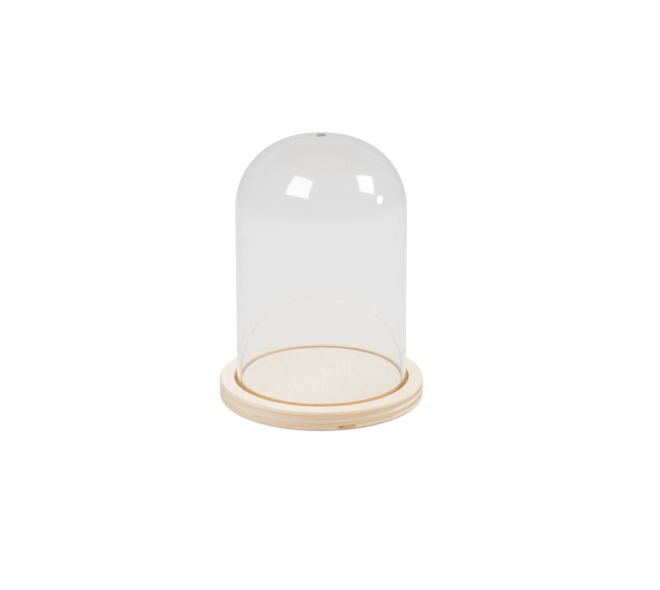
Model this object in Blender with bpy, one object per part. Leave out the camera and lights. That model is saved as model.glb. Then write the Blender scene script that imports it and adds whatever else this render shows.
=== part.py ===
"""Clear display bell that lifts off a round base of five-ply plywood.

Units are metres and +Z is up. The origin is the middle of the base's underside.
Every piece is a turned shape: an outline of (radius, height) points, spun round Z.
"""

import math

import bmesh
import bpy

# Base
BASE_RADIUS = 0.060
BASE_THICKNESS = 0.0115
PLY_COUNT = 5
GLUE_GAP = 0.0003
EDGE_ROUND = 0.00125

# Groove that the bell stands in
GROOVE_OUTER_RADIUS = 0.0516
GROOVE_INNER_RADIUS = 0.0468
GROOVE_DEPTH = 0.006
SEAT_GAP = 0.0003

# Bell: a drafted wall, a tight knuckle arc and a flatter crown arc, measured outside
WALL = 0.002
WALL_HEIGHT = 0.1072
RIM_RADIUS = 0.050
SHOULDER_RADIUS = 0.049
KNUCKLE_RADIUS = 0.0412
CROWN_RADIUS = 0.0713
APEX_HOLE_RADIUS = 0.002

# Facets
SEGMENTS = 72
KNUCKLE_STEPS = 8
CROWN_STEPS = 5
EDGE_STEPS = 4
MERGE_DISTANCE = 0.000001
SHARP_ANGLE = math.radians(30)

# Colours as linear red, green and blue
LONG_GRAIN_COLOUR = (0.84, 0.74, 0.61)
CROSS_GRAIN_COLOUR = (0.66, 0.49, 0.32)
CLEAR_COLOUR = (0.93, 0.94, 0.94)

# Worked out from the dimensions above
PLY = (BASE_THICKNESS - (PLY_COUNT - 1) * GLUE_GAP) / PLY_COUNT
GROOVE_FLOOR = BASE_THICKNESS - GROOVE_DEPTH
RIM_HEIGHT = GROOVE_FLOOR + SEAT_GAP


def remove_old_objects():
    for old in list(bpy.data.objects):
        bpy.data.objects.remove(old, do_unlink=True)


def veneer(name, colour):
    """Sanded bare wood."""
    material = bpy.data.materials.new(name)
    material.use_nodes = True
    shader = material.node_tree.nodes["Principled BSDF"]
    shader.inputs["Base Color"].default_value = (*colour, 1.0)
    shader.inputs["Roughness"].default_value = 0.6
    shader.inputs["Metallic"].default_value = 0.0
    return material


def clear_plastic(name):
    """Polished clear moulding."""
    material = bpy.data.materials.new(name)
    material.use_nodes = True
    shader = material.node_tree.nodes["Principled BSDF"]
    shader.inputs["Base Color"].default_value = (*CLEAR_COLOUR, 1.0)
    shader.inputs["Roughness"].default_value = 0.03
    shader.inputs["Metallic"].default_value = 0.0
    shader.inputs["IOR"].default_value = 1.59
    shader.inputs["Transmission Weight"].default_value = 1.0
    return material


def arc(centre, radius, start, end, steps):
    """Points on an arc, from angle start to angle end, measured up from +radius."""
    angles = [start + (end - start) * step / steps for step in range(steps + 1)]
    return [
        (centre[0] + radius * math.cos(angle), centre[1] + radius * math.sin(angle))
        for angle in angles
    ]


def turn(name, outline, closed, material, height, parent=None):
    """Spin an outline round Z. A closed outline makes a ring, an open one starts and ends on the axis."""
    shape = bmesh.new()
    points = [shape.verts.new((radius, 0.0, z)) for radius, z in outline]
    followers = points[1:] + points[:1] if closed else points[1:]
    edges = [shape.edges.new(pair) for pair in zip(points, followers)]
    bmesh.ops.spin(
        shape,
        geom=points + edges,
        cent=(0.0, 0.0, 0.0),
        axis=(0.0, 0.0, 1.0),
        angle=math.tau,
        steps=SEGMENTS,
        use_merge=True,
    )
    bmesh.ops.remove_doubles(shape, verts=shape.verts[:], dist=MERGE_DISTANCE)
    bmesh.ops.recalc_face_normals(shape, faces=shape.faces[:])

    mesh = bpy.data.meshes.new(name)
    shape.to_mesh(mesh)
    shape.free()
    mesh.shade_smooth()
    mesh.set_sharp_from_angle(angle=SHARP_ANGLE)
    mesh.materials.append(material)

    piece = bpy.data.objects.new(name, mesh)
    piece.location.z = height
    piece.parent = parent
    bpy.context.collection.objects.link(piece)
    return piece


def ply_height(number):
    """Height of a ply's underside, counted from 0 at the bottom."""
    return number * (PLY + GLUE_GAP)


def ring_outline(inner, outer, edge_round=0.0):
    """A flat ring one ply thick, with its upper outer edge rounded."""
    top = [(outer, PLY)]
    if edge_round:
        top = arc((outer - edge_round, PLY - edge_round), edge_round, 0, math.pi / 2, EDGE_STEPS)
    return [(inner, 0.0), (outer, 0.0), *top, (inner, PLY)]


def disc_outline(radius, edge_round=0.0):
    """A flat disc one ply thick, with its lower edge rounded."""
    bottom = [(radius, 0.0)]
    if edge_round:
        bottom = arc((radius - edge_round, edge_round), edge_round, -math.pi / 2, 0, EDGE_STEPS)
    return [(0.0, 0.0), *bottom, (radius, PLY), (0.0, PLY)]


def add_bottom_ply(base):
    outline = disc_outline(BASE_RADIUS, EDGE_ROUND)
    turn("bottom_ply", outline, False, veneer("bottom_ply", LONG_GRAIN_COLOUR), ply_height(0), base)


def add_lower_cross_ply(base):
    outline = disc_outline(BASE_RADIUS)
    material = veneer("lower_cross_ply", CROSS_GRAIN_COLOUR)
    turn("lower_cross_ply", outline, False, material, ply_height(1), base)


def add_core_ply(base):
    """The middle ply, which the groove cuts into from above."""
    groove_floor = GROOVE_FLOOR - ply_height(2)
    outline = [
        (0.0, 0.0),
        (BASE_RADIUS, 0.0),
        (BASE_RADIUS, PLY),
        (GROOVE_OUTER_RADIUS, PLY),
        (GROOVE_OUTER_RADIUS, groove_floor),
        (GROOVE_INNER_RADIUS, groove_floor),
        (GROOVE_INNER_RADIUS, PLY),
        (0.0, PLY),
    ]
    turn("core_ply", outline, False, veneer("core_ply", LONG_GRAIN_COLOUR), ply_height(2), base)


def add_grooved_ply(base, name, number, colour, edge_round=0.0):
    """A ply that the groove cuts right through, which leaves a ring round a disc."""
    ring = ring_outline(GROOVE_OUTER_RADIUS, BASE_RADIUS, edge_round)
    turn(name + "_ring", ring, True, veneer(name + "_ring", colour), ply_height(number), base)
    disc = disc_outline(GROOVE_INNER_RADIUS)
    turn(name + "_disc", disc, False, veneer(name + "_disc", colour), ply_height(number), base)


def bell_side(inset):
    """The bell's section from rim to apex hole, moved in by inset from its outside."""
    draft = math.atan((RIM_RADIUS - SHOULDER_RADIUS) / WALL_HEIGHT)
    knuckle_centre = (
        SHOULDER_RADIUS - KNUCKLE_RADIUS * math.cos(draft),
        WALL_HEIGHT - KNUCKLE_RADIUS * math.sin(draft),
    )
    centre_drop = math.sqrt((CROWN_RADIUS - KNUCKLE_RADIUS) ** 2 - knuckle_centre[0] ** 2)
    crown_centre = (0.0, knuckle_centre[1] - centre_drop)
    crown_start = math.atan2(centre_drop, knuckle_centre[0])
    crown_end = math.acos(APEX_HOLE_RADIUS / (CROWN_RADIUS - inset))

    rim = (RIM_RADIUS - inset / math.cos(draft), 0.0)
    knuckle = arc(knuckle_centre, KNUCKLE_RADIUS - inset, draft, crown_start, KNUCKLE_STEPS)
    crown = arc(crown_centre, CROWN_RADIUS - inset, crown_start, crown_end, CROWN_STEPS)
    return [rim, *knuckle, *crown[1:]]


def add_dome_shell():
    """One moulding of even wall, open below, with its origin on the axis that it lifts along."""
    outline = bell_side(0.0) + bell_side(WALL)[::-1]
    turn("dome_shell", outline, True, clear_plastic("dome_shell"), RIM_HEIGHT)


def main():
    remove_old_objects()
    base = bpy.data.objects.new("base", None)
    bpy.context.collection.objects.link(base)
    add_bottom_ply(base)
    add_lower_cross_ply(base)
    add_core_ply(base)
    add_grooved_ply(base, "upper_cross_ply", 3, CROSS_GRAIN_COLOUR)
    add_grooved_ply(base, "top_ply", 4, LONG_GRAIN_COLOUR, EDGE_ROUND)
    add_dome_shell()


main()
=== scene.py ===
# %% [markdown]
# # A clear display bell on a plywood base
#
# On a bench this object is two loose things: a clear moulded bell, and a round base sawn
# from five-ply plywood with a ring groove that the bell stands in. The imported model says
# where every piece is and how large it is. This script remakes the surfaces around it:
# finer turned shapes, clear plastic, bare wood, a white stage and a camera.

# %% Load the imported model
import math

import bmesh
import bpy
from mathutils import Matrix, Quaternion, Vector


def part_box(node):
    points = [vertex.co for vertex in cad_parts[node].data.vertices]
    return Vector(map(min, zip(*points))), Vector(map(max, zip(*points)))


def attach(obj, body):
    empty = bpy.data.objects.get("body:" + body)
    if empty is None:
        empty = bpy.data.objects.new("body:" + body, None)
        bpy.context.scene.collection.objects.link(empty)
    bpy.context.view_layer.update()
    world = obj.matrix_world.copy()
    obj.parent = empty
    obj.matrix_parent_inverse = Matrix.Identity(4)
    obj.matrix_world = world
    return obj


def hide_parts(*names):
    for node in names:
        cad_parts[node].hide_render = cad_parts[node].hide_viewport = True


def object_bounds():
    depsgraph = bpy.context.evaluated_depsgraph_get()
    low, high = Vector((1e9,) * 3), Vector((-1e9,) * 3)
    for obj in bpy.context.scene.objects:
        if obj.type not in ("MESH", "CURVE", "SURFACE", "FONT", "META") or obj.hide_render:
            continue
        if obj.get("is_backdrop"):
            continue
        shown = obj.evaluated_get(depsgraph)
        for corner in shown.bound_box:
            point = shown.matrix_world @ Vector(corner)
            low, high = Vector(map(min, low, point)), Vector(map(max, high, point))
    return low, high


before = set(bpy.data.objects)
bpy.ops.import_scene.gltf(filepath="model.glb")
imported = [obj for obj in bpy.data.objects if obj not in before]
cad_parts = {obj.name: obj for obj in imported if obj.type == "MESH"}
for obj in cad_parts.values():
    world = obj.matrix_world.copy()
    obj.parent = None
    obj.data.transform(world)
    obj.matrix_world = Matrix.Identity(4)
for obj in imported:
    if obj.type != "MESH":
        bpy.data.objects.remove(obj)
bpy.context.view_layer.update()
MM = 0.001

# %% [markdown]
# ## Sizes
#
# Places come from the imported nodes, so a piece can't drift from the part that it stands
# for. A box says nothing about a groove, so the groove's width and the gap that the model
# keeps under the bell's rim are repeated here.

# %% Measure the nodes
groove_width = 4.8 * MM
seat_gap = 0.3 * MM

bell_low, bell_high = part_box("dome_shell")
rim_radius = bell_high.x
rim_height = bell_low.z
base_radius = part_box("core_ply")[1].x
base_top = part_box("top_ply_disc")[1].z
groove_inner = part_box("top_ply_disc")[1].x
groove_outer = groove_inner + groove_width
groove_floor = rim_height - seat_gap
print("groove in mm:", round(groove_inner / MM, 1), "to", round(groove_outer / MM, 1))

# %% [markdown]
# ## Camera
#
# The photograph was taken from a little above, with a long lens. A camera can be placed by
# eye, but here its distance, height and lens were worked out from the outlines of the base
# and the bell, so that the ellipses open by the right amount. It aims at the point that
# lies in the middle of the picture, and needs no lens shift.

# %% Place the camera
camera_distance = 0.850
camera_elevation = math.radians(20.73)
aim_right, aim_up = 5.05 * MM, 48.8 * MM
# Lens and sensor in mm
lens_length, sensor_width = 78.25, 36.0
nearest_seen = 10 * MM

base_centre = Vector((0, 0, base_top))
towards_camera = Vector((0, -math.cos(camera_elevation), math.sin(camera_elevation)))
aim = base_centre + Vector((aim_right, 0, aim_up))

camera = bpy.data.objects.new("camera", bpy.data.cameras.new("camera"))
camera.data.lens = lens_length
camera.data.sensor_width = sensor_width
camera.data.clip_start = nearest_seen
camera.location = base_centre + camera_distance * towards_camera
camera.rotation_euler = (aim - camera.location).to_track_quat("-Z", "Y").to_euler()
bpy.context.collection.objects.link(camera)
bpy.context.scene.camera = camera
bpy.context.scene.view_settings.view_transform = "Standard"
print("camera at", [round(side, 3) for side in camera.location])

# %% [markdown]
# ## Helpers for materials
#
# Colours are picked as sRGB hex values, as a colour picker shows them, but a shader socket
# holds linear light, so one function turns the first into the second. A second function
# adds a node: its settings are named, and each input is given either a value or another
# node's output to link. A Mix node has a pair of inputs for each kind of data, so its
# colour sockets are picked by number.

# %% Helpers for materials
COLOUR_A, COLOUR_B, COLOUR_OUT = 6, 7, 2


def linear(hex_colour):
    """Turn an sRGB hex colour into the linear values that a socket holds."""
    channels = [int(hex_colour[place:place + 2], 16) / 255 for place in (1, 3, 5)]
    curve = [c / 12.92 if c <= 0.04045 else ((c + 0.055) / 1.055) ** 2.4 for c in channels]
    return (*curve, 1.0)


def add(tree, kind, inputs=None, **settings):
    """Add one node with its settings, and give each named input a value or a link."""
    node = tree.nodes.new(kind)
    for name, value in settings.items():
        setattr(node, name, value)
    for name, value in (inputs or {}).items():
        if isinstance(value, bpy.types.NodeSocket):
            tree.links.new(value, node.inputs[name])
        else:
            node.inputs[name].default_value = value
    return node


def empty_tree(owner):
    """Start a material's or a world's node tree with nothing in it."""
    owner.use_nodes = True
    owner.node_tree.nodes.clear()
    return owner.node_tree


print("red of a mid grey:", round(linear("#808080")[0], 3))

# %% [markdown]
# ## Table
#
# The object stands on a pale table that has to look white. A floor that is lit to pure white
# would need so much light that the wood burnt out, so the floor gets some light of its own,
# which only rays that show it can see: those from the camera, and those that come through
# the bell or off it. The bell shows the table a little under white, and that sets the clear
# walls off from the background. Its cap mirrors the table's far end, which is dimmer. The
# rest of the floor's brightness is plain reflected light, and that part keeps the shadow.

# %% Pale table
table_colour = "#BCBCBC"
glow_in_view, glow_in_bell = 0.57, 0.345
glow_near, glow_far = 0.285, 0.22
near_table, far_table = 0.45, 0.90
# Glossy Depth counts how often a ray was mirrored, and this lies between never and once
once_mirrored = 0.5

table_material = bpy.data.materials.new("pale_table")
tree = empty_tree(table_material)
path = add(tree, "ShaderNodeLightPath").outputs
mirrored = add(tree, "ShaderNodeMath", {
    0: path["Glossy Depth"], 1: once_mirrored,
}, operation="GREATER_THAN")
place = add(tree, "ShaderNodeTexCoord").outputs["Object"]
away = add(tree, "ShaderNodeVectorMath", {0: place}, operation="LENGTH")
mirrored_glow = add(tree, "ShaderNodeMapRange", {
    "Value": away.outputs["Value"], "From Min": near_table, "From Max": far_table,
    "To Min": glow_near, "To Max": glow_far,
}, interpolation_type="SMOOTHSTEP")
bell_glow = add(tree, "ShaderNodeMix", {
    "Factor": mirrored.outputs[0], "A": glow_in_bell, "B": mirrored_glow.outputs[0],
}, data_type="FLOAT")
in_bell = add(tree, "ShaderNodeMath", {
    0: path["Is Glossy Ray"], 1: path["Is Transmission Ray"],
}, operation="MAXIMUM")
dim = add(tree, "ShaderNodeMath", {
    0: in_bell.outputs[0], 1: bell_glow.outputs[0],
}, operation="MULTIPLY")
strength = add(tree, "ShaderNodeMix", {
    "Factor": path["Is Camera Ray"], "A": dim.outputs[0], "B": glow_in_view,
}, data_type="FLOAT")
matt = add(tree, "ShaderNodeBsdfDiffuse", {"Color": linear(table_colour)})
glow = add(tree, "ShaderNodeEmission", {"Strength": strength.outputs[0]})
both = add(tree, "ShaderNodeAddShader", {0: matt.outputs[0], 1: glow.outputs[0]})
add(tree, "ShaderNodeOutputMaterial", {"Surface": both.outputs[0]})
print("table glows", glow_in_view, "in view and", glow_in_bell, "through the bell")

# %% [markdown]
# ## Table top
#
# A studio table is swept up into its backdrop, so that no edge shows. Here one square does,
# because it is wide enough for its far edge to be lost in the white. It lies a tenth of a
# millimetre lower than the base, since two faces in one plane would show through each other.

# %% Table top
table_side = 12.0
table_drop = 0.1 * MM

shape = bmesh.new()
bmesh.ops.create_grid(shape, x_segments=1, y_segments=1, size=table_side / 2)
table_mesh = bpy.data.meshes.new("table")
shape.to_mesh(table_mesh)
shape.free()
table_mesh.materials.append(table_material)
table = bpy.data.objects.new("table", table_mesh)
table.location.z = -table_drop
bpy.context.collection.objects.link(table)
table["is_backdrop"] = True
print("table", table_side, "m wide")

# %% [markdown]
# ## Room
#
# A world lights everything from all round, as the pale walls of a studio do. That light is
# stronger from the walls than from above, and from the right than from the left, as it falls
# on the base's edge. An even grey world would be simpler, but it would light the base's top
# and its edge alike.

# %% Soft room light
wall_fill, ceiling_fill = 1.36, 0.624
right_share = 0.20

world = bpy.data.worlds.new("studio")
bpy.context.scene.world = world
tree = empty_tree(world)
direction = add(tree, "ShaderNodeTexCoord").outputs["Generated"]
towards = add(tree, "ShaderNodeSeparateXYZ", {0: direction}).outputs
even_fill = add(tree, "ShaderNodeMapRange", {
    "Value": towards["Z"], "To Min": wall_fill, "To Max": ceiling_fill,
})
sideways = add(tree, "ShaderNodeMath", {
    0: towards["X"], 1: right_share, 2: 1.0,
}, operation="MULTIPLY_ADD")
fill = add(tree, "ShaderNodeMath", {
    0: even_fill.outputs[0], 1: sideways.outputs[0],
}, operation="MULTIPLY")
print("fill light", wall_fill, "at the walls,", ceiling_fill, "overhead")

# %% [markdown]
# ## Mirrored room
#
# The bell's domed cap shows because it mirrors the upper part of the room, which is darker
# than the table and the backdrop. Real walls and a ceiling could be built for that, but they
# would shade the object, so the world answers each kind of ray in its own way. Rays that
# were mirrored see a room with a pale wall behind the object, a dimmer one in front of it and
# a dark ceiling. Rays that come straight through the bell see the pale backdrop, the camera
# sees plain white, and all else gets the soft light.

# %% Room in the bell
back_wall, front_wall, ceiling = 0.672, 0.48, 0.40
back_wall_starts, back_wall_full = 0.3, 0.9
wall_ends, ceiling_starts = math.sin(math.radians(25)), math.sin(math.radians(75))
backdrop, plain_white = 0.75, 1.0

wall = add(tree, "ShaderNodeMapRange", {
    "Value": towards["Y"], "From Min": back_wall_starts, "From Max": back_wall_full,
    "To Min": front_wall, "To Max": back_wall,
}, interpolation_type="SMOOTHSTEP")
room = add(tree, "ShaderNodeMapRange", {
    "Value": towards["Z"], "From Min": wall_ends, "From Max": ceiling_starts,
    "To Min": wall.outputs[0], "To Max": ceiling,
}, interpolation_type="SMOOTHSTEP")
path = add(tree, "ShaderNodeLightPath").outputs
mirrored = add(tree, "ShaderNodeMath", {
    0: path["Glossy Depth"], 1: once_mirrored,
}, operation="GREATER_THAN")
in_bell = add(tree, "ShaderNodeMath", {
    0: path["Is Glossy Ray"], 1: path["Is Transmission Ray"],
}, operation="MAXIMUM")
bell_view = add(tree, "ShaderNodeMix", {
    "Factor": mirrored.outputs[0], "A": backdrop, "B": room.outputs[0],
}, data_type="FLOAT")
soft = add(tree, "ShaderNodeMix", {
    "Factor": in_bell.outputs[0], "A": fill.outputs[0], "B": bell_view.outputs[0],
}, data_type="FLOAT")
level = add(tree, "ShaderNodeMix", {
    "Factor": path["Is Camera Ray"], "A": soft.outputs[0], "B": plain_white,
}, data_type="FLOAT")
sky = add(tree, "ShaderNodeBackground", {"Color": linear("#FFFFFF"), "Strength": level.outputs[0]})
add(tree, "ShaderNodeOutputWorld", {"Surface": sky.outputs[0]})
print("the bell mirrors walls at", back_wall, "and", front_wall, "and a ceiling at", ceiling)

# %% [markdown]
# ## Softbox cloth
#
# Two softboxes and one small lamp light the object, and each shows as a bright patch on
# the bell's shoulder. A softbox's cloth is dimmer towards its rim, where Blender's area lamp
# is as bright as in its middle. So each lamp has nodes of its own that fade its light towards
# the rim, and its patch has a soft edge.

# %% Softbox cloth
lamp_middle = (0.5, 0.5, 0)
lamp_rim = 0.5


def cloth(tree, outline, soft_edge):
    """Strength of a lamp's light over its cloth, which fades within soft_edge of the rim."""
    spot = add(tree, "ShaderNodeNewGeometry").outputs["Parametric"]
    centred = add(tree, "ShaderNodeVectorMath", {
        0: spot, 1: lamp_middle,
    }, operation="SUBTRACT").outputs[0]
    if outline == "ELLIPSE":
        reach = add(tree, "ShaderNodeVectorMath", {0: centred}, operation="LENGTH").outputs["Value"]
    else:
        sides = add(tree, "ShaderNodeVectorMath", {0: centred}, operation="ABSOLUTE")
        side = add(tree, "ShaderNodeSeparateXYZ", {0: sides.outputs[0]}).outputs
        reach = add(tree, "ShaderNodeMath", {
            0: side["X"], 1: side["Y"],
        }, operation="MAXIMUM").outputs[0]
    return add(tree, "ShaderNodeMapRange", {
        "Value": reach, "From Min": lamp_rim, "From Max": lamp_rim - soft_edge,
    }, interpolation_type="SMOOTHSTEP").outputs[0]


print("a lamp's rim is", lamp_rim, "of its width from its middle")

# %% [markdown]
# ## Lamps
#
# A patch's place on a curved mirror says where its lamp stands, so the directions below were
# read back from the patches, as straight lines from the front of the bell's cap. A lamp's
# power follows from its brightness and its area, so a larger lamp shows no brighter. The left
# softbox faces past the bell, to the right and the back, which gives its patch slanted sides.

# %% Softboxes
lamp_target = Vector((0, -40 * MM, bell_high.z - 21 * MM))
left_aim = Vector((0.40, 0.15, 0.48))
lamp_distance = 1.0
# Watts for each square metre of a lamp with a brightness of 1
lamp_watts = 4


def lamp(name, towards, size, brightness, twist, soft_edge, outline="RECTANGLE", aims_at=lamp_target):
    """Hang an area lamp that faces the bell's cap or another place, twisted about its own beam."""
    data = bpy.data.lights.new(name, "AREA")
    data.shape = outline
    data.size, data.size_y = size
    area = size[0] * size[1] * (math.pi / 4 if outline == "ELLIPSE" else 1)
    data.energy = lamp_watts * brightness * area
    tree = empty_tree(data)
    shine = add(tree, "ShaderNodeEmission", {"Strength": cloth(tree, outline, soft_edge)})
    add(tree, "ShaderNodeOutputLight", {"Surface": shine.outputs[0]})
    piece = bpy.data.objects.new(name, data)
    piece.location = lamp_target + lamp_distance * Vector(towards).normalized()
    facing = (aims_at - piece.location).to_track_quat("-Z", "Y")
    piece.rotation_euler = (facing @ Quaternion((0, 0, 1), twist)).to_euler()
    bpy.context.collection.objects.link(piece)
    print(name, "gives", round(data.energy, 2), "W")


lamp("left_softbox", towards=(-0.420, -0.495, 0.760), size=(0.580, 0.660), brightness=1.8,
     twist=math.radians(7), soft_edge=0.10, aims_at=left_aim)
lamp("right_softbox", towards=(0.800, -0.088, 0.593), size=(0.506, 0.433), brightness=1.9,
     twist=math.radians(47), soft_edge=0.14)
lamp("small_lamp", towards=(0.980, -0.005, 0.197), size=(0.250, 0.175), brightness=3.2,
     twist=math.radians(29), soft_edge=0.30, outline="ELLIPSE")

# %% [markdown]
# ## Turning
#
# Every piece of this object is round, so each starts as half of its cross-section, drawn
# as one flat face in the XZ plane. Its corners are rounded there with a vertex bevel, which
# is easier than rounding finished edges, and then the outline is spun round Z. A spun seam
# is merged, doubles at the axis collapse, and the normals are made to point outwards. Smooth
# shading would bend a long wall towards the small faces of its rounded end, so the normals
# are weighted by area, and the large faces stay straight.

# %% Helpers for turned pieces
turn_steps = 192
merge_distance = 0.001 * MM
sharp_angle = math.radians(30)


def round_corners(shape, corners, segments):
    """Round chosen corners of a flat section, given as pairs of vertex and radius."""
    for vert, radius in corners:
        bmesh.ops.bevel(shape, geom=[vert], offset=radius, segments=segments,
                        profile=0.5, affect="VERTICES", material=-1)


def turn(shape, name, body, node, slot, *materials):
    """Spin a section's outline round Z, as a piece that stands for a node and rides on its body."""
    bmesh.ops.delete(shape, geom=shape.faces[:], context="FACES_ONLY")
    on_axis = [edge for edge in shape.edges if max(vert.co.x for vert in edge.verts) < merge_distance]
    bmesh.ops.delete(shape, geom=on_axis, context="EDGES")
    bmesh.ops.spin(shape, geom=shape.verts[:] + shape.edges[:], cent=(0, 0, 0), axis=(0, 0, 1),
                   angle=math.tau, steps=turn_steps, use_merge=True)
    bmesh.ops.remove_doubles(shape, verts=shape.verts[:], dist=merge_distance)
    bmesh.ops.recalc_face_normals(shape, faces=shape.faces[:])
    mesh = bpy.data.meshes.new(name)
    shape.to_mesh(mesh)
    shape.free()
    mesh.shade_smooth()
    mesh.set_sharp_from_angle(angle=sharp_angle)
    for material in materials:
        mesh.materials.append(material)
    piece = bpy.data.objects.new(name, mesh)
    bpy.context.collection.objects.link(piece)
    weighted = piece.modifiers.new("weighted_normal", "WEIGHTED_NORMAL")
    weighted.keep_sharp = True
    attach(piece, body)
    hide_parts(node)
    print(name, "has", len(mesh.polygons), "faces")
    return piece


print("pieces are turned in", turn_steps, "steps")

# %% [markdown]
# ## Clear plastic
#
# The bell is moulded in clear polystyrene, which is glossier than glass: its index is 1.59,
# so its four surfaces mirror about a fifth of the light, and the plastic itself keeps only a
# little. Moulded plastic is never quite flat: the melt leaves slow waves in it, and handling
# leaves a bloom of fine scuffs, so both vary the surface a little. A Glass shader could do
# this too, but the Principled shader serves for the drilled hole and the wood as well.

# %% Moulded clear polystyrene
plastic_colour = "#FBFBFB"
plastic_index = 1.59
melt_wave, melt_height = 16 * MM, 0.004 * MM
scuff_size = 2.5 * MM
scuffs_start, scuffs_full = 0.45, 0.75
polished, scuffed = 0.02, 0.06

bell_material = bpy.data.materials.new("moulded_clear_polystyrene")
tree = empty_tree(bell_material)
place = add(tree, "ShaderNodeTexCoord").outputs["Object"]
waves = add(tree, "ShaderNodeTexNoise", {
    "Vector": place, "Scale": 1 / melt_wave, "Detail": 1.0,
})
bump = add(tree, "ShaderNodeBump", {
    "Height": waves.outputs["Fac"], "Strength": 1.0, "Distance": melt_height,
})
scuffs = add(tree, "ShaderNodeTexNoise", {
    "Vector": place, "Scale": 1 / scuff_size, "Detail": 3.0,
})
bloom = add(tree, "ShaderNodeMapRange", {
    "Value": scuffs.outputs["Fac"], "From Min": scuffs_start, "From Max": scuffs_full,
    "To Min": polished, "To Max": scuffed,
})
clear = add(tree, "ShaderNodeBsdfPrincipled", {
    "Base Color": linear(plastic_colour), "Roughness": bloom.outputs[0], "IOR": plastic_index,
    "Transmission Weight": 1.0, "Normal": bump.outputs[0],
})
print("melt waves", melt_wave / MM, "mm long, scuffs", scuff_size / MM, "mm wide")

# %% [markdown]
# ## Light through the walls
#
# Light from lamps can't find its way through refracting walls in a render, so the wood under
# the bell would stand in the dark. For those rays, and for soft light from the wood, the
# walls are a plain filter instead. So they are for a ray that has been mirrored twice, which
# on the real bell leaves the wall in the end, but here would be given up as black.

# %% Light through the walls
plastic_filter = "#FCFCFC"
# Between once and twice
twice_mirrored = 1.5

path = add(tree, "ShaderNodeLightPath").outputs
soft_ray = add(tree, "ShaderNodeMath", {
    0: path["Is Shadow Ray"], 1: path["Is Diffuse Ray"],
}, operation="MAXIMUM")
trapped_ray = add(tree, "ShaderNodeMath", {
    0: path["Glossy Depth"], 1: twice_mirrored,
}, operation="GREATER_THAN")
straight_on = add(tree, "ShaderNodeMath", {
    0: soft_ray.outputs[0], 1: trapped_ray.outputs[0],
}, operation="MAXIMUM")
lamp_filter = add(tree, "ShaderNodeBsdfTransparent", {"Color": linear(plastic_filter)})
walls = add(tree, "ShaderNodeMixShader", {
    0: straight_on.outputs[0], 1: clear.outputs[0], 2: lamp_filter.outputs[0],
})
add(tree, "ShaderNodeOutputMaterial", {"Surface": walls.outputs[0]})
print("plastic filter keeps", round(linear(plastic_filter)[0], 3), "per surface")

# %% [markdown]
# ## Drilled hole
#
# A drill leaves the wall of a hole rough and scuffs a narrow lip round it, and rough clear
# plastic scatters light instead of passing it on. So the hole at the apex is a small frosted
# spot, greyer than the bell.

# %% Drilled polystyrene
drill_mark = 0.4 * MM
frost_dark, frost_pale = "#A69599", "#BCADB1"
frost_smooth, frost_rough = 0.4, 0.7

hole_material = bpy.data.materials.new("drilled_polystyrene")
tree = empty_tree(hole_material)
place = add(tree, "ShaderNodeTexCoord").outputs["Object"]
marks = add(tree, "ShaderNodeTexNoise", {"Vector": place, "Scale": 1 / drill_mark, "Detail": 2.0})
frost = add(tree, "ShaderNodeMix", {
    "Factor": marks.outputs["Fac"], COLOUR_A: linear(frost_dark), COLOUR_B: linear(frost_pale),
}, data_type="RGBA")
rough = add(tree, "ShaderNodeMapRange", {
    "Value": marks.outputs["Fac"], "To Min": frost_smooth, "To Max": frost_rough,
})
drilled = add(tree, "ShaderNodeBsdfPrincipled", {
    "Base Color": frost.outputs[COLOUR_OUT], "Roughness": rough.outputs[0], "IOR": plastic_index,
})
add(tree, "ShaderNodeOutputMaterial", {"Surface": drilled.outputs[0]})
print("drill marks", drill_mark / MM, "mm")

# %% [markdown]
# ## Bell section
#
# The bell's section is a straight wall with a little draft, so that it left its mould, then
# a tight knuckle arc and a flatter crown arc that meet without a corner. Both faces of the
# wall use the same two centres, which keeps its thickness even. Each arc is one vertex spun
# about its centre, which needs fewer numbers than a list of points.

# %% Bell section
wall_height = 107.2 * MM
shoulder_radius = 49.0 * MM
knuckle_radius = 41.2 * MM
crown_radius = 71.3 * MM
apex_hole = 2.0 * MM
knuckle_steps, crown_steps = 48, 30

draft = math.atan((rim_radius - shoulder_radius) / wall_height)
knuckle_centre = Vector((
    shoulder_radius - knuckle_radius * math.cos(draft), 0,
    rim_height + wall_height - knuckle_radius * math.sin(draft),
))
centre_drop = math.sqrt((crown_radius - knuckle_radius) ** 2 - knuckle_centre.x ** 2)
crown_centre = Vector((0, 0, knuckle_centre.z - centre_drop))
crown_start = math.atan2(centre_drop, knuckle_centre.x)


def spin_arc(shape, start, centre, angle, steps):
    """Draw an arc upwards from a vertex, and return its last vertex."""
    made = bmesh.ops.spin(shape, geom=[start], cent=centre, axis=(0, -1, 0), angle=angle, steps=steps)
    return next(item for item in made["geom_last"] if isinstance(item, bmesh.types.BMVert))


def bell_face(shape, inset):
    """Draw one face of the wall from the rim to the hole, and return its two ends."""
    across = Vector((math.cos(draft), 0, math.sin(draft)))
    rim = shape.verts.new((rim_radius - inset / math.cos(draft), 0, rim_height))
    shoulder = shape.verts.new(knuckle_centre + (knuckle_radius - inset) * across)
    shape.edges.new((rim, shoulder))
    knuckle = spin_arc(shape, shoulder, knuckle_centre, crown_start - draft, knuckle_steps)
    crown_end = math.acos(apex_hole / (crown_radius - inset))
    return rim, spin_arc(shape, knuckle, crown_centre, crown_end - crown_start, crown_steps)


print("bell's draft", round(math.degrees(draft), 2), "degrees")

# %% [markdown]
# ## Bell
#
# The wall's two faces are joined by a flat rim below and by the side of the small hole at
# the apex, and their corners are eased as a mould and a drill leave them. A Solidify modifier
# could thicken a single face, but here each corner can be rounded before the spin. The faces
# in and just round the hole get the drilled finish.

# %% Bell
bell_wall = 2.0 * MM
rim_round, hole_round, round_segments = 0.5 * MM, 0.3 * MM, 5
frosted_ring = 0.8 * MM

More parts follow.
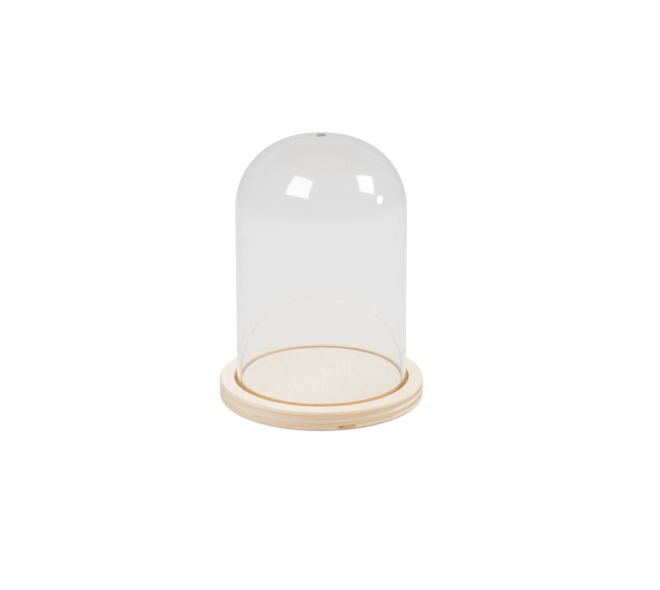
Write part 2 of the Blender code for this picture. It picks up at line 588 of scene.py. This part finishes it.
shape = bmesh.new()
outer_rim, outer_hole = bell_face(shape, 0.0)
inner_rim, inner_hole = bell_face(shape, bell_wall)
shape.edges.new((outer_rim, inner_rim))
shape.edges.new((outer_hole, inner_hole))
bmesh.ops.contextual_create(shape, geom=shape.edges[:])
round_corners(shape, [(outer_rim, rim_round), (inner_rim, rim_round)], round_segments)
round_corners(shape, [(outer_hole, hole_round), (inner_hole, hole_round)], round_segments)
bell = turn(shape, "bell", "dome", "dome_shell", "clear_plastic", bell_material, hole_material)
for face in bell.data.polygons:
    if math.hypot(face.center.x, face.center.y) < apex_hole + frosted_ring:
        face.material_index = 1

# %% [markdown]
# ## Bare plywood
#
# The base is sanded plywood with no finish. Each veneer is peeled from a log, so its face
# shows slow wavy figure and fine streaks along the grain, and its neighbour's grain runs
# across it. A picture of a board would fit one face alone. This pattern is solid instead,
# made from noise that is stretched in the veneer's own directions, so that its face, its
# long edge and its end grain agree. Fibres are finer than the picture can show, and are
# drawn coarser, at about half a millimetre.

# %% Grain
# Sizes in mm across the grain, along it and through the veneer, then the noise detail
PATTERNS = {
    "figure": ((9.0, 85.0, 2.4), 1.0),
    "fibre": ((0.55, 10.0, 0.50), 3.0),
    "pores": ((0.45, 3.2, 0.45), 1.0),
    "tone": ((34.0, 60.0, 6.0), 1.0),
    "mottle": ((7.0, 9.0, 1.1), 2.0),
    "layers": ((26.0, 26.0, 0.42), 2.0),
}
# Where a mask starts and is full on its pattern, and how strong it gets
MASKS = {
    "late": ("rings", 0.0, 1.0, 0.32),
    "streaks": ("fibre", 0.40, 0.75, 0.55),
    "warm": ("tone", 0.35, 0.65, 0.50),
    "mottled": ("mottle", 0.42, 0.70, 0.60),
    "layered": ("layers", 0.50, 0.72, 0.45),
}
growth_rings = 34.0
# How far a veneer lies along the log for each step across it
along_log = 3


def grain(tree, place, cross, shift):
    """Patterns of a veneer, shifted to its own part of the log, and the masks made from them."""
    turned = add(tree, "ShaderNodeMapping", {
        "Vector": place, "Location": (shift, along_log * shift, 0), "Scale": (1 / MM, 1 / MM, 1 / MM),
        "Rotation": (0, 0, math.pi / 2 if cross else 0),
    }).outputs[0]
    patterns = {}
    for name, (size, detail) in PATTERNS.items():
        stretched = add(tree, "ShaderNodeMapping", {
            "Vector": turned, "Scale": [1 / side for side in size],
        })
        patterns[name] = add(tree, "ShaderNodeTexNoise", {
            "Vector": stretched.outputs[0], "Scale": 1.0, "Detail": detail,
        }).outputs["Fac"]
    contours = add(tree, "ShaderNodeMath", {
        0: patterns["figure"], 1: growth_rings,
    }, operation="MULTIPLY")
    rings = add(tree, "ShaderNodeMath", {0: contours.outputs[0]}, operation="SINE")
    patterns["rings"] = rings.outputs[0]
    masks = {}
    for name, (pattern, starts, full, strength) in MASKS.items():
        masks[name] = add(tree, "ShaderNodeMapRange", {
            "Value": patterns[pattern], "From Min": starts, "From Max": full, "To Max": strength,
        }).outputs[0]
    return patterns, masks


print("fibres drawn", PATTERNS["fibre"][0][0], "mm wide")

# %% [markdown]
# ## Cuts through a veneer
#
# A veneer shows three cuts: its sanded face, its sawn edge, and its end grain, where fibres
# meet the edge end on. Those take in more light, so the wood looks darker and warmer there.
# The way that the surface faces tells the cuts apart, so no face has to be picked by hand.
# The rounded upper edge gets a darker tone, which is painted shade that tones down the light it
# catches.

# %% Face, edge and end grain
face_ends, edge_full = 0.98, 0.40
end_starts, end_full = 0.58, 1.00
lean_starts, lean_full = 0.10, 0.45
flat_starts, flat_full = 0.90, 1.00
# Painted shade on the rounded upper edge
most_rounding_shade = 0.3


def cuts(tree, cross):
    """Masks of a veneer's upright edge, of its end grain and of the painted shade on its rounded upper
    edge.
    """
    normal = add(tree, "ShaderNodeNewGeometry").outputs["Normal"]
    level = add(tree, "ShaderNodeSeparateXYZ", {0: normal}).outputs["Z"]
    tilt = add(tree, "ShaderNodeMath", {0: level}, operation="ABSOLUTE")
    upright = add(tree, "ShaderNodeMapRange", {
        "Value": tilt.outputs[0], "From Min": face_ends, "From Max": edge_full,
    }, interpolation_type="SMOOTHSTEP")
    along = add(tree, "ShaderNodeVectorMath", {
        0: normal, 1: (1, 0, 0) if cross else (0, 1, 0),
    }, operation="DOT_PRODUCT")
    squarely = add(tree, "ShaderNodeMath", {0: along.outputs["Value"]}, operation="ABSOLUTE")
    end_on = add(tree, "ShaderNodeMapRange", {
        "Value": squarely.outputs[0], "From Min": end_starts, "From Max": end_full,
    }, interpolation_type="SMOOTHSTEP")
    leaning = add(tree, "ShaderNodeMapRange", {
        "Value": level, "From Min": lean_starts, "From Max": lean_full, "To Max": most_rounding_shade,
    })
    not_flat = add(tree, "ShaderNodeMapRange", {
        "Value": level, "From Min": flat_full, "From Max": flat_starts, "To Max": most_rounding_shade,
    })
    rounding_shade = add(tree, "ShaderNodeMath", {
        0: leaning.outputs[0], 1: not_flat.outputs[0],
    }, operation="MINIMUM")
    return upright.outputs[0], end_on.outputs[0], rounding_shade.outputs[0]


print("end grain starts", round(math.degrees(math.acos(end_starts))), "degrees off a square cut")

# %% [markdown]
# ## Sapwood and painted shade
#
# A log is pale under its bark, and a wide veneer shows it. The left of this base is sapwood,
# which stays pale even on its end grain. The other side, to the right and the front, is a little
# darker: that is painted shade, which fades out towards the back. Two slow ramps across the base do
# this.

# %% Sapwood and painted shade
sapwood_starts, sapwood_full = 5 * MM, -45 * MM
most_sapwood = 0.85
# Painted shade: a darker tone towards the right and the front
shade_towards = (1.0, -0.5, 0.0)
shade_starts, shade_full = 5 * MM, 55 * MM


def sapwood_and_shade(tree, place):
    """Masks of the side of the base that is sapwood and of the painted shade to the right and the
    front.
    """
    left_to_right = add(tree, "ShaderNodeSeparateXYZ", {0: place}).outputs["X"]
    sapwood = add(tree, "ShaderNodeMapRange", {
        "Value": left_to_right, "From Min": sapwood_starts, "From Max": sapwood_full,
        "To Max": most_sapwood,
    }, interpolation_type="SMOOTHSTEP")
    across = add(tree, "ShaderNodeVectorMath", {0: place, 1: shade_towards}, operation="DOT_PRODUCT")
    right_front_shade = add(tree, "ShaderNodeMapRange", {
        "Value": across.outputs["Value"], "From Min": shade_starts, "From Max": shade_full,
    }, interpolation_type="SMOOTHSTEP")
    return sapwood.outputs[0], right_front_shade.outputs[0]


print("sapwood left of", sapwood_starts / MM, "mm")

# %% [markdown]
# ## Painted light in the groove
#
# A router cut the groove. The wood inside it is tinted orange brown, as painted shade and
# painted light bounced between its wooden walls. The groove is a ring about the axis, so a
# point's distance from the ring's middle says whether it is inside. The tint fades out just
# past the groove's edges, and it is deepest at the front.

# %% Painted light in the groove
groove_middle = (groove_inner + groove_outer) / 2
groove_half = (groove_outer - groove_inner) / 2
bounce_spread = 0.2 * MM
# Painted bounce light and shade, most at the front and least at the back
most_bounce, least_bounce = 0.87, 0.28
bounce_front, bounce_back = -30 * MM, 45 * MM


def groove_bounce_and_shade(tree, place):
    """Mask of the painted bounce light and shade inside the groove."""
    front_to_back = add(tree, "ShaderNodeSeparateXYZ", {0: place}).outputs["Y"]
    bounce_strength = add(tree, "ShaderNodeMapRange", {
        "Value": front_to_back, "From Min": bounce_front, "From Max": bounce_back,
        "To Min": most_bounce, "To Max": least_bounce,
    })
    flat = add(tree, "ShaderNodeVectorMath", {0: place, 1: (1, 1, 0)}, operation="MULTIPLY")
    reach = add(tree, "ShaderNodeVectorMath", {0: flat.outputs[0]}, operation="LENGTH")
    off_middle = add(tree, "ShaderNodeMath", {
        0: reach.outputs["Value"], 1: groove_middle,
    }, operation="SUBTRACT")
    off_groove = add(tree, "ShaderNodeMath", {0: off_middle.outputs[0]}, operation="ABSOLUTE")
    return add(tree, "ShaderNodeMapRange", {
        "Value": off_groove.outputs[0], "From Min": groove_half, "From Max": groove_half + bounce_spread,
        "To Min": bounce_strength.outputs[0], "To Max": 0.0,
    }, interpolation_type="SMOOTHSTEP").outputs[0]


# The groove's painted light and shade reach this far past its edges
print("groove browned to", bounce_spread / MM, "mm past its edges")

# %% [markdown]
# ## Glue lines
#
# The glue between two veneers shows at the edge as a thin darker line. The lines aren't
# quite level: from the knot onwards the bottom veneer is thicker, and lifts the veneers on
# it by less and less. Each line is a height that rises across the base, and the mask is
# strongest where a point is nearest to one of them. It is fainter in the pale sapwood.

# %% Glue lines
stack = ("bottom_ply", "lower_cross_ply", "core_ply", "upper_cross_ply_ring", "top_ply_ring")
heights = [(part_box(below)[1].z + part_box(above)[0].z) / 2 for below, above in zip(stack, stack[1:])]
swells = (0.8 * MM, 0.5 * MM, 0.2 * MM, 0.0)
swell_starts, swell_full = 0 * MM, 18 * MM
GLUE_LINES = list(zip(heights, swells))
glue_half = 0.14 * MM
most_glue, least_glue = 0.70, 0.22


def glue_lines(tree, axes):
    """Mask of the lines of glue between the veneers."""
    swollen = add(tree, "ShaderNodeMapRange", {
        "Value": axes["X"], "From Min": swell_starts, "From Max": swell_full,
    }, interpolation_type="SMOOTHSTEP")
    # The search starts from further off than any line is
    off_glue = base_top
    for height, swell in GLUE_LINES:
        line = add(tree, "ShaderNodeMath", {
            0: swollen.outputs[0], 1: swell, 2: height,
        }, operation="MULTIPLY_ADD")
        above = add(tree, "ShaderNodeMath", {0: axes["Z"], 1: line.outputs[0]}, operation="SUBTRACT")
        away = add(tree, "ShaderNodeMath", {0: above.outputs[0]}, operation="ABSOLUTE")
        off_glue = add(tree, "ShaderNodeMath", {
            0: off_glue, 1: away.outputs[0],
        }, operation="MINIMUM").outputs[0]
    strength = add(tree, "ShaderNodeMapRange", {
        "Value": axes["X"], "From Min": sapwood_starts, "From Max": sapwood_full,
        "To Min": most_glue, "To Max": least_glue,
    }, interpolation_type="SMOOTHSTEP")
    return add(tree, "ShaderNodeMapRange", {
        "Value": off_glue, "From Min": 0.0, "From Max": glue_half,
        "To Min": strength.outputs[0], "To Max": 0.0,
    }, interpolation_type="SMOOTHSTEP").outputs[0]


print("glue lines at", [round(height / MM, 2) for height in heights], "mm")

# %% [markdown]
# ## Knot
#
# A small branch ran through the bottom veneer, and the saw cut it at the front edge. It shows
# as tan wood with a deeper pith, between two streaks of bark of which the left one is darker.
# The knot is a stretched ball in the solid wood: its distance from the middle, mostly along
# the edge, picks a tone from a ramp. A skew makes one end darker, and the fibres make its
# outline ragged.

# %% Knot
knot_place = Vector((13.9, -58.0, 2.15)) * MM
knot_size = Vector((5.8, 3.0, 1.25)) * MM
knot_skew = (-0.32, 0.0, 0.22)
knot_rings = (0.85, 0.85, 0.42)
knot_solid, knot_gone = 1.2, 1.6
most_knot = 0.95
pith_tone, bark_tone = "#C9A06C", "#6B411D"
KNOT_TONES = {0.15: "#D6B384", 0.40: "#CFA16B", 0.58: "#BE8042", 0.80: "#86562A", 0.95: bark_tone}


def knot_at_the_edge(tree, place, fibre):
    """Mask and colour of the knot in the bottom veneer."""
    spot = add(tree, "ShaderNodeMapping", {
        "Vector": place, "Scale": [1 / side for side in knot_size],
        "Location": [-middle / side for middle, side in zip(knot_place, knot_size)],
    }).outputs[0]
    spread = add(tree, "ShaderNodeVectorMath", {0: spot}, operation="LENGTH").outputs["Value"]
    ragged = add(tree, "ShaderNodeMath", {0: spread, 1: fibre}, operation="ADD")
    inside = add(tree, "ShaderNodeMapRange", {
        "Value": ragged.outputs[0], "From Min": knot_solid, "From Max": knot_gone,
        "To Min": most_knot, "To Max": 0.0,
    }, interpolation_type="SMOOTHSTEP")
    skewed = add(tree, "ShaderNodeVectorMath", {0: spot, 1: knot_skew}, operation="DOT_PRODUCT")
    grown = add(tree, "ShaderNodeVectorMath", {0: spot, 1: knot_rings}, operation="MULTIPLY")
    rings = add(tree, "ShaderNodeVectorMath", {0: grown.outputs[0]}, operation="LENGTH")
    ring = add(tree, "ShaderNodeMath", {
        0: rings.outputs["Value"], 1: skewed.outputs["Value"],
    }, operation="ADD")
    tone = add(tree, "ShaderNodeValToRGB", {0: ring.outputs[0]})
    first, last = tone.color_ramp.elements
    first.color, last.color = linear(pith_tone), linear(bark_tone)
    for step, hex_colour in KNOT_TONES.items():
        tone.color_ramp.elements.new(step).color = linear(hex_colour)
    return inside.outputs[0], tone.outputs[0]


print("knot", 2 * knot_size.x / MM, "mm wide")

# %% [markdown]
# ## Tones of the wood
#
# Each kind of veneer has a set of tones, read from its face, its edge and its ends.
# The top veneer and the core differ from the others only at their edges, so their sets are
# copies with a few tones changed. The cross veneers are a browner wood.

# %% Tones of the wood
# The tones for the right and front side, the rounded upper edge, the groove and the lower edge are
# painted light and shade
LONG_TONES = {
    "pale": "#F7F0E7", "late": "#EEE2D1", "warm": "#F5E9DD", "right_front_shade": "#EFE6DB", "edge": "#F4E8D6",
    "end": "#F1DBBE", "end_dark": "#DCBC94", "sapwood": "#FBEDDB", "groove": "#FFDCA6",
    "glue": "#CFAB85", "low_edge_shade": "#C4B093", "rounding_shade": "#D8C4A2",
}
TOP_TONES = {**LONG_TONES, "edge": "#F0E5D5"}
CORE_TONES = {
    **LONG_TONES, "edge": "#F9F0E4", "end": "#EBD7C3", "end_dark": "#DDC0A0", "groove": "#EEC692",
}
CROSS_TONES = {
    "pale": "#EAD2B3", "late": "#DFC09B", "warm": "#E7CEB6", "right_front_shade": "#E4CAAA", "edge": "#E6CDAE",
    "end": "#E6D3BF", "end_dark": "#CFAE8C", "sapwood": "#FDE9D3", "groove": "#F2CA98",
    "glue": "#C79C72", "low_edge_shade": "#C4B093", "rounding_shade": "#D8C4A2",
}
print(len(LONG_TONES), "tones in each kind of veneer")

# %% [markdown]
# ## Tints of a veneer
#
# The finish is built up as a polisher would see it: the pale wood first, then each thing that
# tints it, as a mask and a tone. The order matters, because a later layer covers an earlier
# one: the groove's painted light and shade cover the grain below it, and painted shade on the
# lower edge, at the right and the front, covers all of it. One long chain of nodes could do
# this too, but a list of layers shows the order at a glance.

# %% Tints of a veneer
# Painted shade along the lower edge
low_shade_ends, low_shade_full = 1.4 * MM, 0.5 * MM
most_low_shade = 0.75


def end_grain(tree, masks, tones):
    """Colour of a veneer's end grain, which is streaked and mottled."""
    colour = linear(tones["end"])
    for mask in (masks["streaks"], masks["mottled"]):
        colour = add(tree, "ShaderNodeMix", {
            "Factor": mask, COLOUR_A: colour, COLOUR_B: linear(tones["end_dark"]),
        }, data_type="RGBA").outputs[COLOUR_OUT]
    return colour


def tints(tree, place, cross, masks, tones):
    """Pairs of mask and tone that tint a veneer's pale wood, in the order that they cover it."""
    axes = add(tree, "ShaderNodeSeparateXYZ", {0: place}).outputs
    upright, end_on, rounding_shade = cuts(tree, cross)
    sapwood, right_front_shade = sapwood_and_shade(tree, place)
    pale_edge = add(tree, "ShaderNodeMath", {0: upright, 1: sapwood}, operation="MULTIPLY")
    lines = add(tree, "ShaderNodeMath", {0: upright, 1: masks["layered"]}, operation="MULTIPLY")
    low_edge_shade = add(tree, "ShaderNodeMapRange", {
        "Value": axes["Z"], "From Min": low_shade_ends, "From Max": low_shade_full, "To Max": most_low_shade,
    }, interpolation_type="SMOOTHSTEP")
    # The painted shade on the lower edge is kept to the right and the front
    low_right_shade = add(tree, "ShaderNodeMath", {0: low_edge_shade.outputs[0], 1: right_front_shade}, operation="MULTIPLY")
    return [
        (masks["warm"], linear(tones["warm"])),
        # Painted shade to the right and the front
        (right_front_shade, linear(tones["right_front_shade"])),
        (upright, linear(tones["edge"])),
        (masks["late"], linear(tones["late"])),
        (masks["streaks"], linear(tones["late"])),
        (end_on, end_grain(tree, masks, tones)),
        (pale_edge.outputs[0], linear(tones["sapwood"])),
        (lines.outputs[0], linear(tones["end_dark"])),
        # Painted shade on the rounded upper edge
        (rounding_shade, linear(tones["rounding_shade"])),
        # Painted bounce light and shade in the groove
        (groove_bounce_and_shade(tree, place), linear(tones["groove"])),
        (glue_lines(tree, axes), linear(tones["glue"])),
        # Painted shade on the lower edge at the right and the front
        (low_right_shade.outputs[0], linear(tones["low_edge_shade"])),
    ]


# The lower edge's painted shade reaches up to this height
print("edge soiled up to", low_shade_ends / MM, "mm")

# %% [markdown]
# ## Sanded veneer
#
# A veneer's material starts from its pale tone and mixes in one layer after another. Bare
# wood is rough, so the fibres vary its roughness a little, and its open pores dent it.
# Only the bottom veneer has the knot.

# %% Sanded veneer
smoothest, roughest = 0.52, 0.68
fibre_low, fibre_high = 0.3, 0.7
pore_depth, pore_strength = 0.05 * MM, 0.6


def veneer(name, cross, shift, tones, knot=False):
    """Sanded bare veneer, with its grain along Y, or along X for a cross ply."""
    material = bpy.data.materials.new(name)
    tree = empty_tree(material)
    place = add(tree, "ShaderNodeTexCoord").outputs["Object"]
    patterns, masks = grain(tree, place, cross, shift)
    layers = tints(tree, place, cross, masks, tones)
    if knot:
        layers.append(knot_at_the_edge(tree, place, patterns["fibre"]))
    colour = linear(tones["pale"])
    for mask, tone in layers:
        colour = add(tree, "ShaderNodeMix", {
            "Factor": mask, COLOUR_A: colour, COLOUR_B: tone,
        }, data_type="RGBA").outputs[COLOUR_OUT]
    rough = add(tree, "ShaderNodeMapRange", {
        "Value": patterns["fibre"], "From Min": fibre_low, "From Max": fibre_high,
        "To Min": smoothest, "To Max": roughest,
    })
    bump = add(tree, "ShaderNodeBump", {
        "Height": patterns["pores"], "Strength": pore_strength, "Distance": pore_depth,
    })
    wood = add(tree, "ShaderNodeBsdfPrincipled", {
        "Base Color": colour, "Roughness": rough.outputs[0], "Normal": bump.outputs[0],
    })
    add(tree, "ShaderNodeOutputMaterial", {"Surface": wood.outputs[0]})
    print(name, "has", len(tree.nodes), "nodes")
    return material


print("veneer roughness", smoothest, "to", roughest)

# %% [markdown]
# ## Five veneers
#
# Each veneer came from its own part of the log, so its patterns are shifted by its own number
# of millimetres, and no two edges look alike. The second and the fourth lie across the rest,
# which is what keeps plywood flat.

# %% Five veneers
top_wood = veneer("sanded_top_veneer", cross=False, shift=11.0, tones=TOP_TONES)
upper_wood = veneer("sanded_upper_cross_veneer", cross=True, shift=37.0, tones=CROSS_TONES)
core_wood = veneer("sanded_core_veneer", cross=False, shift=53.0, tones=CORE_TONES)
lower_wood = veneer("sanded_lower_cross_veneer", cross=True, shift=71.0, tones=CROSS_TONES)
bottom_wood = veneer("sanded_bottom_veneer", cross=False, shift=97.0, tones=LONG_TONES, knot=True)

# %% [markdown]
# ## Section of a ply
#
# A ply is a disc or a ring, so its section is a box with a few rounded corners. The packed
# nodes keep a gap where glue would be. Here each veneer reaches almost to the middle of that
# gap, because a real sanded edge shows no gap.

# %% Section of a ply
glue_reach = 0.14 * MM
edge_segments = 6


def ply_section(corners):
    """Draw a ply's section from corners of radius, height and rounding."""
    shape = bmesh.new()
    verts = [shape.verts.new((radius, 0, height)) for radius, height, _ in corners]
    shape.faces.new(verts)
    rounded = [(vert, corner[2]) for vert, corner in zip(verts, corners) if corner[2]]
    round_corners(shape, rounded, edge_segments)
    return shape


def ply_heights(node):
    """A ply's underside and top, with about half a glue line on each glued side."""
    low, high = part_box(node)[0].z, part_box(node)[1].z
    under = low - glue_reach if low > merge_distance else low
    over = high + glue_reach if high < base_top - merge_distance else high
    return under, over


print("core reaches from", [round(height / MM, 2) for height in ply_heights("core_ply")], "mm")

# %% [markdown]
# ## Swollen plies
#
# Where the knot swells the bottom veneer, the glued faces are raised with their glue lines,
# so that shape and colour agree. A lattice could bend the whole base, but only these faces
# move, so their vertices are raised one by one, along the same eased curve as the lines.

# %% Swollen plies
near_line = 2 * glue_reach


def swelling(x):
    """How far the swell has come in at a place across the base, eased as Map Range eases it."""
    share = min(max((x - swell_starts) / (swell_full - swell_starts), 0), 1)
    return share * share * (3 - 2 * share)


def turn_ply(corners, name, node, slot, wood):
    """Turn one ply of the base, and raise its glued faces beside the knot."""
    piece = turn(ply_section(corners), name, "base", node, slot, wood)
    for vert in piece.data.vertices:
        for height, swell in GLUE_LINES:
            if abs(vert.co.z - height) < near_line:
                vert.co.z += swell * swelling(vert.co.x)


print("glue lines rise by up to", max(swells) / MM, "mm")

# %% [markdown]
# ## Grooved plies
#
# The router went through the two upper plies, so each of those is a ring round a disc. The
# cut's upper edges are barely eased with sandpaper, and the base's own edge is well rounded.
# A Boolean could cut the groove out of whole discs, but turned sections give cleaner faces.

# %% Grooved plies
edge_round, groove_round = 1.25 * MM, 0.2 * MM

low, high = ply_heights("top_ply_ring")
ring = [(groove_outer, low, 0), (base_radius, low, 0), (base_radius, high, edge_round),
        (groove_outer, high, groove_round)]
disc = [(0, low, 0), (groove_inner, low, 0), (groove_inner, high, groove_round), (0, high, 0)]
turn_ply(ring, "top_veneer_ring", "top_ply_ring", "long_grain_veneer", top_wood)
turn_ply(disc, "top_veneer_disc", "top_ply_disc", "long_grain_veneer", top_wood)

low, high = ply_heights("upper_cross_ply_ring")
ring = [(groove_outer, low, 0), (base_radius, low, 0), (base_radius, high, 0), (groove_outer, high, 0)]
disc = [(0, low, 0), (groove_inner, low, 0), (groove_inner, high, 0), (0, high, 0)]
turn_ply(ring, "upper_cross_veneer_ring", "upper_cross_ply_ring", "cross_grain_veneer", upper_wood)
turn_ply(disc, "upper_cross_veneer_disc", "upper_cross_ply_disc", "cross_grain_veneer", upper_wood)

# %% [markdown]
# ## Whole plies
#
# The core holds the groove's floor, so its section has a step down and up again. The two
# plies below it are plain discs, and the lowest is rounded where the base meets the table.

# %% Whole plies
low, high = ply_heights("core_ply")
core = [(0, low, 0), (base_radius, low, 0), (base_radius, high, 0), (groove_outer, high, 0),
        (groove_outer, groove_floor, 0), (groove_inner, groove_floor, 0), (groove_inner, high, 0),
        (0, high, 0)]
turn_ply(core, "core_veneer", "core_ply", "long_grain_veneer", core_wood)

low, high = ply_heights("lower_cross_ply")
lower = [(0, low, 0), (base_radius, low, 0), (base_radius, high, 0), (0, high, 0)]
turn_ply(lower, "lower_cross_veneer", "lower_cross_ply", "cross_grain_veneer", lower_wood)

low, high = ply_heights("bottom_ply")
bottom = [(0, low, 0), (base_radius, low, edge_round), (base_radius, high, 0), (0, high, 0)]
turn_ply(bottom, "bottom_veneer", "bottom_ply", "long_grain_veneer", bottom_wood)

# %% [markdown]
# ## Sizes at the end
#
# The dressed object should fill the same box as the imported one, so its box is printed.

# %% Write the sizes and finish
low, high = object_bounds()
print("dressed box in mm:", [round(side / MM, 1) for side in high - low])
